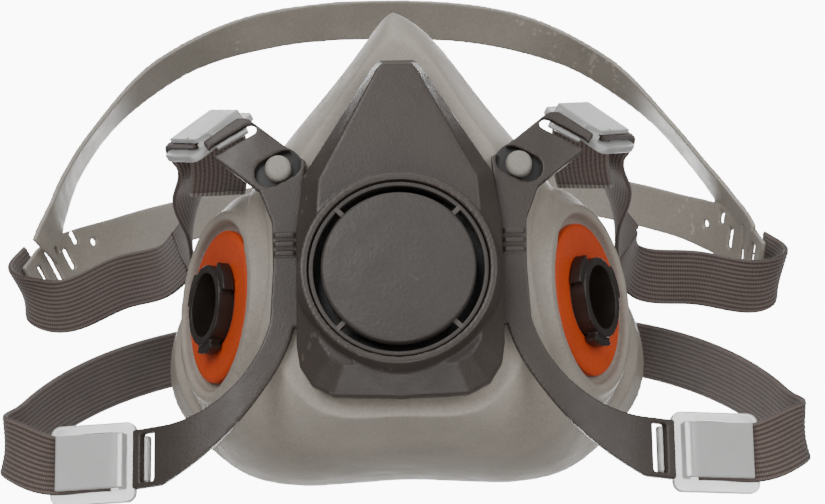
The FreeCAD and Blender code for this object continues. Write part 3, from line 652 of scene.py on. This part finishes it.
UPPER_ON_PLATE = [(8, -0.25), (15, -0.25), (23, -0.25), (27.5, 0.2), (29.8, 2.8), (29.2, 6.5)]
LOWER_ON_PLATE = [(8, -0.25), (15, -0.25), (24, -0.25)]
DROP_BELOW = [
    ((57.5, -24, 28), (0.6, -0.45, -0.6)),
    ((58, -15, 21), (0.3, -0.35, -0.85)),
    ((60, -7.5, 14), (0, -0.3, -0.95)),
    ((62.5, -2, 8.5), (-0.3, -0.3, -0.9)),
]
TAIL = [
    ((48.2, -53, 40), (0.98, -0.1, -0.15)),
    ((48, -44, 31), (0.98, -0.1, -0.15)),
    ((49.5, -36, 24.5), (0.98, -0.1, -0.15)),
]
RUN_RIGHT = [
    ((62.5, -2, 8.5), (-0.3, -0.3, -0.9)),
    ((63.5, 2, 3), (-0.1, -0.2, -1)),
    ((81, 13, -1), (0, 0, -1)),
    ((94.5, 20, -3.5), (0, 0, -1)),
    ((103.5, 23, -3.5), (-0.2, 0.15, -0.95)),
    ((108, 27, -0.5), (-0.25, 0.3, -0.9)),
    ((106.5, 34, 3), (-0.11, 0.41, -0.9)),
    ((104.5, 38, 4.5), (-0.11, 0.41, -0.9)),
]
RUN_LEFT = [
    ((-62.5, -2, 8.5), (0.3, -0.3, -0.9)),
    ((-68, 4.4, 4), (0.1, -0.2, -1)),
    ((-80.5, 12, 1), (0, 0, -1)),
    ((-94, 19, -4.5), (0, 0, -1)),
    ((-104.5, 23, -5.5), (0.25, 0.1, -0.95)),
    ((-112, 27, -1), (0.4, 0.25, -0.9)),
    ((-111, 34.5, 3), (0.4, 0.2, -0.9)),
    ((-109.5, 38.5, 5), (0.4, 0.2, -0.9)),
]
LOWER_BEHIND = [
    ((100, -65, -42.5), (0, 0.1, 1)),
    ((103.5, -62, -40.5), (0, 0.1, 1)),
    ((102, -56, -39), (0, 0.1, 1)),
    ((98.5, -47, -36), (0, 0.1, 1)),
    ((82.5, -12, -26), (0, 0.05, 1)),
    ((58, 22, -20), (0, 0, 1)),
    ((29, 39, -16.5), (0, 0, 1)),
    ((19.2, 41.6, -15.5), (0, 0, 1)),
]


def mirror(route, side):
    """A right-hand route, or its mirror image."""
    return [((side * p[0], p[1], p[2]), (side * a[0], a[1], a[2])) for p, a in route]


def on_plate(place, points, sign):
    """The stretch of elastic over a buckle's plate, in millimetres."""
    across = place.to_3x3() @ Vector((0, 0, sign))
    return [(tuple((place @ (Vector((x, y, 0)) * MM)) / MM), tuple(across)) for x, y in points]


def elastic(name, route, **more):
    """One piece of ribbed elastic."""
    return band(name, route, ELASTIC_WIDE, ELASTIC_THICK, ELASTIC_RIBS, RIB_DEEP, **more)


def straps():
    """The elastic of both sides."""
    upper = on_plate(plate_frame(UPPER_HINGE), UPPER_ON_PLATE, -1) + DROP_BELOW
    lower = on_plate(plate_frame(LOWER_HINGE), LOWER_ON_PLATE, 1) + LOWER_BEHIND
    for side, word, run_route in ((-1, "left", RUN_LEFT), (1, "right", RUN_RIGHT)):
        drop = elastic("strap_drop_" + word, mirror(upper, side), count=180)
        finish(drop, ELASTIC, None, ["upper_strap_drop_" + word])
        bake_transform(drop)
        run = elastic("strap_run_" + word, run_route, count=120)
        finish(run, ELASTIC, None, ["upper_strap_run_" + word])
        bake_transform(run)
        low = elastic("lower_elastic_" + word, mirror(lower, side), count=260)
        finish(low, ELASTIC, "lower_" + word, ["lower_strap_" + word])
        tail = elastic("strap_tail_" + word, mirror(TAIL, side), count=60, part=(0, 0.94))
        finish(tail, ELASTIC, "upper_" + word)
        stitched = elastic("tail_end_" + word, mirror(TAIL, side), count=60, part=(0.93, 1))
        finish(stitched, TAIL_END, "upper_" + word)


# ---------------------------------------------------------------- head cradle and clasp

def head_cradle():
    """The thin plastic cradle."""
    piece = copy_node("cradle", "head_cradle")
    melt(piece, 0.4, 6)
    finish(piece, CRADLE_PLASTIC, "crown", ["head_cradle"])


def clasp():
    """Both halves of the neck clasp."""
    for node, body in (("clasp_hook", "lower_left"), ("clasp_loop", "lower_right")):
        piece = copy_node(node + "_half", node)
        melt(piece, 0.3, 3)
        finish(piece, DARK_PLASTIC, body, [node])


def hidden_nodes():
    """CAD pieces that stay as they are, with better materials."""
    looks = {"valve_seat": SEAT_PLASTIC_AND_HOLE_SHADE, "exhalation_flap": FLAP_RUBBER}
    looks["inhalation_flap_left"] = FLAP_RUBBER
    looks["inhalation_flap_right"] = FLAP_RUBBER
    for node, material in looks.items():
        data = frame["nodes"][node].data
        data.materials.clear()
        data.materials.append(material)


# ---------------------------------------------------------------- studio

def studio():
    """A white backdrop and soft light."""
    bpy.ops.mesh.primitive_plane_add(size=2.8, location=(0, 3, 0), rotation=(math.pi / 2, 0, 0))
    backdrop = bpy.context.object
    backdrop.name = "backdrop"
    nodes = Nodes("backdrop")
    nodes.set(Base_Color=(1, 1, 1, 1), Emission_Color=(1, 1, 1, 1), Emission_Strength=10.0)
    backdrop.data.materials.append(nodes.material)
    world = bpy.data.worlds.new("studio")
    bpy.context.scene.world = world
    world.use_nodes = True
    world.node_tree.nodes["Background"].inputs["Color"].default_value = (1, 1, 1, 1)
    world.node_tree.nodes["Background"].inputs["Strength"].default_value = 0.2
    lights = [
        ("key", (-0.5, -0.9, 0.7), 0.7, 8.5),
        ("fill", (0.7, -0.8, 0.4), 0.9, 5.5),
        ("top", (0.0, 0.1, 0.9), 0.8, 4),
        ("low", (0.0, -0.8, -0.6), 0.8, 4.5),
    ]
    for name, place, width, power in lights:
        data = bpy.data.lights.new(name, "AREA")
        data.size = width
        data.energy = power
        light = bpy.data.objects.new(name, data)
        light.location = place
        light.rotation_euler = (-Vector(place)).to_track_quat("-Z", "Y").to_euler()
        bpy.context.scene.collection.objects.link(light)


face_seal()
front_housing()
valve_cover()
ports()
harness_yoke()
pegs()
buckles()
straps()
head_cradle()
clasp()
hidden_nodes()
studio()

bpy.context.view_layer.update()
